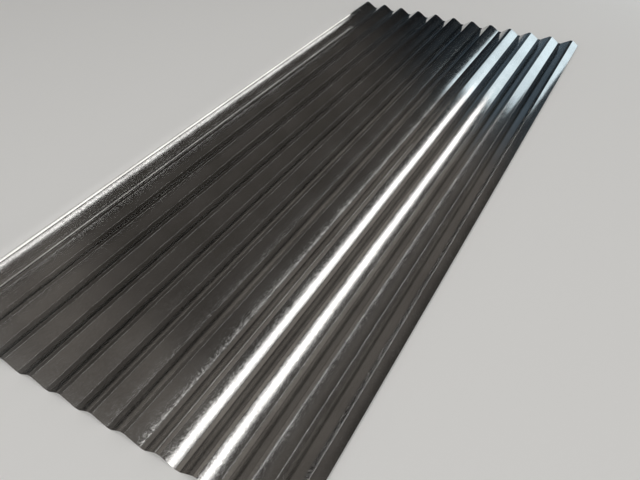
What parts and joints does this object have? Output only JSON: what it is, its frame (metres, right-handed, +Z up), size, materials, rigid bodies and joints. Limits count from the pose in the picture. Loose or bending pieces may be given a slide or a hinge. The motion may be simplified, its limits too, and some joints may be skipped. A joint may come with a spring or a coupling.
{
  "type": "corrugated metal sheet",
  "caption": "Galvanised steel roofing sheet with small trapezoidal corrugations along its length, for roofs, walls and fences.",
  "frame": {"origin": "on the level surface that the sheet lies on, below the middle of the sheet's length and width", "axes": "+X across the corrugations, +Y along the corrugations, +Z up with the crests on top"},
  "size_m": [0.8892, 2, 0.0184],
  "materials": {
    "galvanised_steel": "bright hot-dip zinc coat with fine spangle, faint lengthwise roll marks and light scuffs"
  },
  "bodies": {
    "root": {"corrugated_sheet": "galvanised_steel"}
  },
  "joints": []
}
